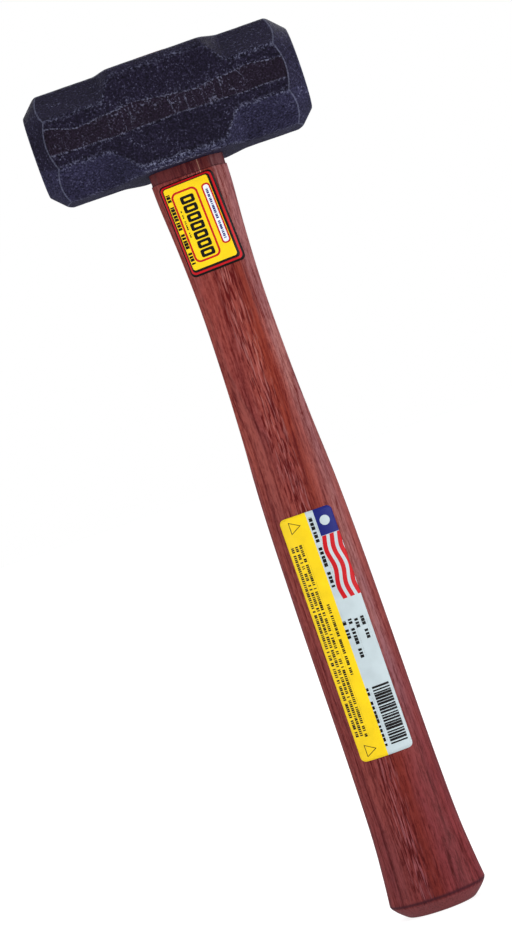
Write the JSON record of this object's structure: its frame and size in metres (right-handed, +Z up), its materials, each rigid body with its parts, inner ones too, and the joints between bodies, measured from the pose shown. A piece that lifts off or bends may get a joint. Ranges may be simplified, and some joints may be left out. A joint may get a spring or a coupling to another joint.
{
  "type": "engineer's hammer",
  "caption": "Short hand sledge: a black forged octagonal head with a chamfered striking face at each end, wedged on a red-brown stained wooden handle with an oval grip and paper labels.",
  "frame": {"origin": "middle of the flat butt end of the handle, under the middle of the whole hammer's box", "axes": "+Z up the handle to the head, +X along the head from one striking face to the other, -Y towards the side with the labels"},
  "size_m": [0.111, 0.045, 0.358],
  "materials": {
    "forged_steel": "black forging scale, dull, worn grey along the edges",
    "stained_hickory": "red-brown stain under a thin satin lacquer",
    "raw_wood": "raw sawn wood",
    "wedge_steel": "plain dark steel",
    "yellow_label": "printed paper label",
    "white_label": "printed paper label"
  },
  "bodies": {
    "root": {"head": "forged_steel", "handle": "stained_hickory", "wood_wedge": "raw_wood", "steel_wedge_left": "wedge_steel", "steel_wedge_right": "wedge_steel", "neck_label": "yellow_label", "grip_label": "white_label"}
  },
  "joints": []
}
